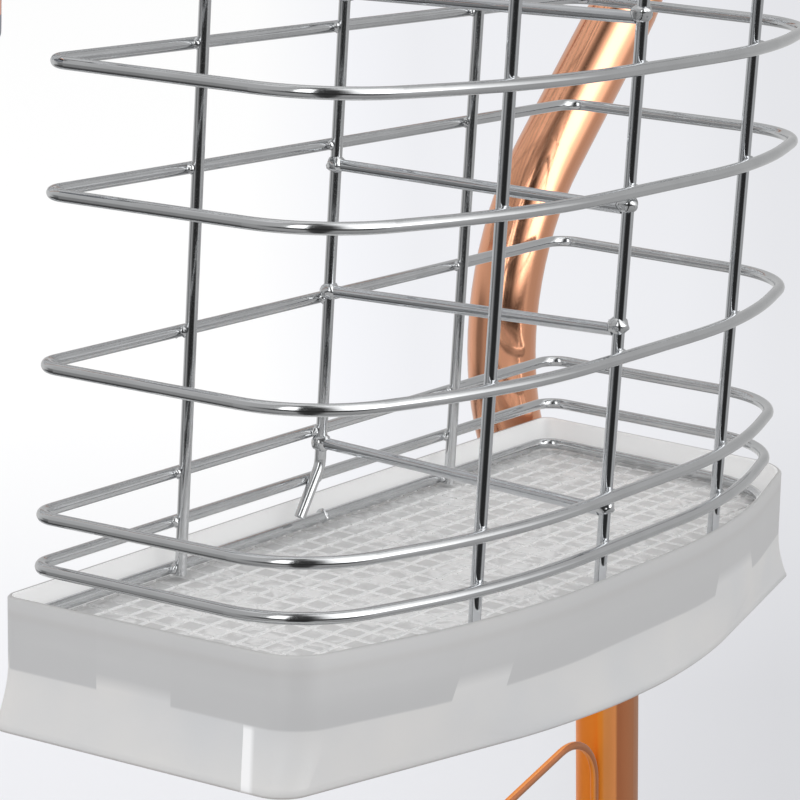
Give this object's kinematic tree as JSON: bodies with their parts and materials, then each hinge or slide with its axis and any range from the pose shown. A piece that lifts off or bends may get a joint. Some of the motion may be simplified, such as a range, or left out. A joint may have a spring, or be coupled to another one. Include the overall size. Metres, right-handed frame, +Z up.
{
  "type": "two-tier dish drainer",
  "caption": "Two-tier dish drainer with bent copper plated tube frames, wire racks, a drip tray and a hanging wire cutlery basket with a drip cup.",
  "frame": {"origin": "middle of the footprint's box, on the worktop", "axes": "+X to the cutlery basket's side, +Y to the back, +Z up"},
  "size_m": [0.54, 0.2991, 0.4538],
  "materials": {
    "copper_plate": "polished copper plated steel",
    "chrome_wire": "bright chrome plated steel wire",
    "screw_steel": "zinc plated steel",
    "grey_plastic": "fine matt moulded plastic",
    "black_rubber": "matt moulded rubber",
    "tray_plastic": "satin moulded plastic",
    "frosted_plastic": "frosted translucent moulded plastic"
  },
  "bodies": {
    "stand": {"foot_front_left": "black_rubber", "foot_front_right": "black_rubber", "foot_rear_left": "black_rubber", "foot_rear_right": "black_rubber", "guard_wire_left": "copper_plate", "guard_wire_right": "copper_plate", "plug_foot_left": "grey_plastic", "plug_foot_right": "grey_plastic", "plug_upper_left": "grey_plastic", "plug_upper_right": "grey_plastic", "side_frame_left": "copper_plate", "side_frame_right": "copper_plate", "tie_lower_front": "copper_plate", "tie_lower_rear": "copper_plate", "tie_screws": "screw_steel", "tie_upper_front": "copper_plate", "tie_upper_rear": "copper_plate"},
    "plate_rack": {"plate_pegs_front": "chrome_wire", "plate_pegs_rear": "chrome_wire", "upper_rack_grille": "chrome_wire", "upper_rack_rim": "chrome_wire", "upper_rack_uprights_front": "chrome_wire", "upper_rack_uprights_left": "chrome_wire", "upper_rack_uprights_rear": "chrome_wire", "upper_rack_uprights_right": "chrome_wire"},
    "dish_rack": {"lower_rack_grille": "chrome_wire", "lower_rack_rim": "chrome_wire", "lower_rack_skids": "chrome_wire", "lower_rack_uprights_front": "chrome_wire", "lower_rack_uprights_left": "chrome_wire", "lower_rack_uprights_rear": "chrome_wire", "lower_rack_uprights_right": "chrome_wire"},
    "tray": {"drip_tray": "tray_plastic"},
    "basket": {"basket_divider_wires": "chrome_wire", "basket_hook_front": "chrome_wire", "basket_hook_rear": "chrome_wire", "basket_rim": "chrome_wire", "basket_ring_1": "chrome_wire", "basket_ring_2": "chrome_wire", "basket_ring_3": "chrome_wire", "basket_ring_4": "chrome_wire", "basket_ring_5": "chrome_wire", "basket_ring_6": "chrome_wire", "basket_upright_bow_1": "chrome_wire", "basket_upright_bow_2": "chrome_wire", "basket_upright_bow_3": "chrome_wire", "basket_upright_middle": "chrome_wire"},
    "cup": {"drip_cup": "frosted_plastic"}
  },
  "joints": [
    {"name": "plate_rack_lift", "type": "slide", "parent": "stand", "child": "plate_rack", "axis": [0, 0, 1], "range_m": [0, 0.1]},
    {"name": "dish_rack_lift", "type": "slide", "parent": "stand", "child": "dish_rack", "axis": [0, 0, 1], "range_m": [0, 0.1]},
    {"name": "tray_pull", "type": "slide", "parent": "stand", "child": "tray", "axis": [0, -1, 0], "range_m": [0, 0.2]},
    {"name": "basket_lift", "type": "slide", "parent": "stand", "child": "basket", "axis": [0, 0, 1], "range_m": [0, 0.05]},
    {"name": "cup_pull", "type": "slide", "parent": "basket", "child": "cup", "axis": [0, 0, -1], "range_m": [0, 0.04]}
  ]
}
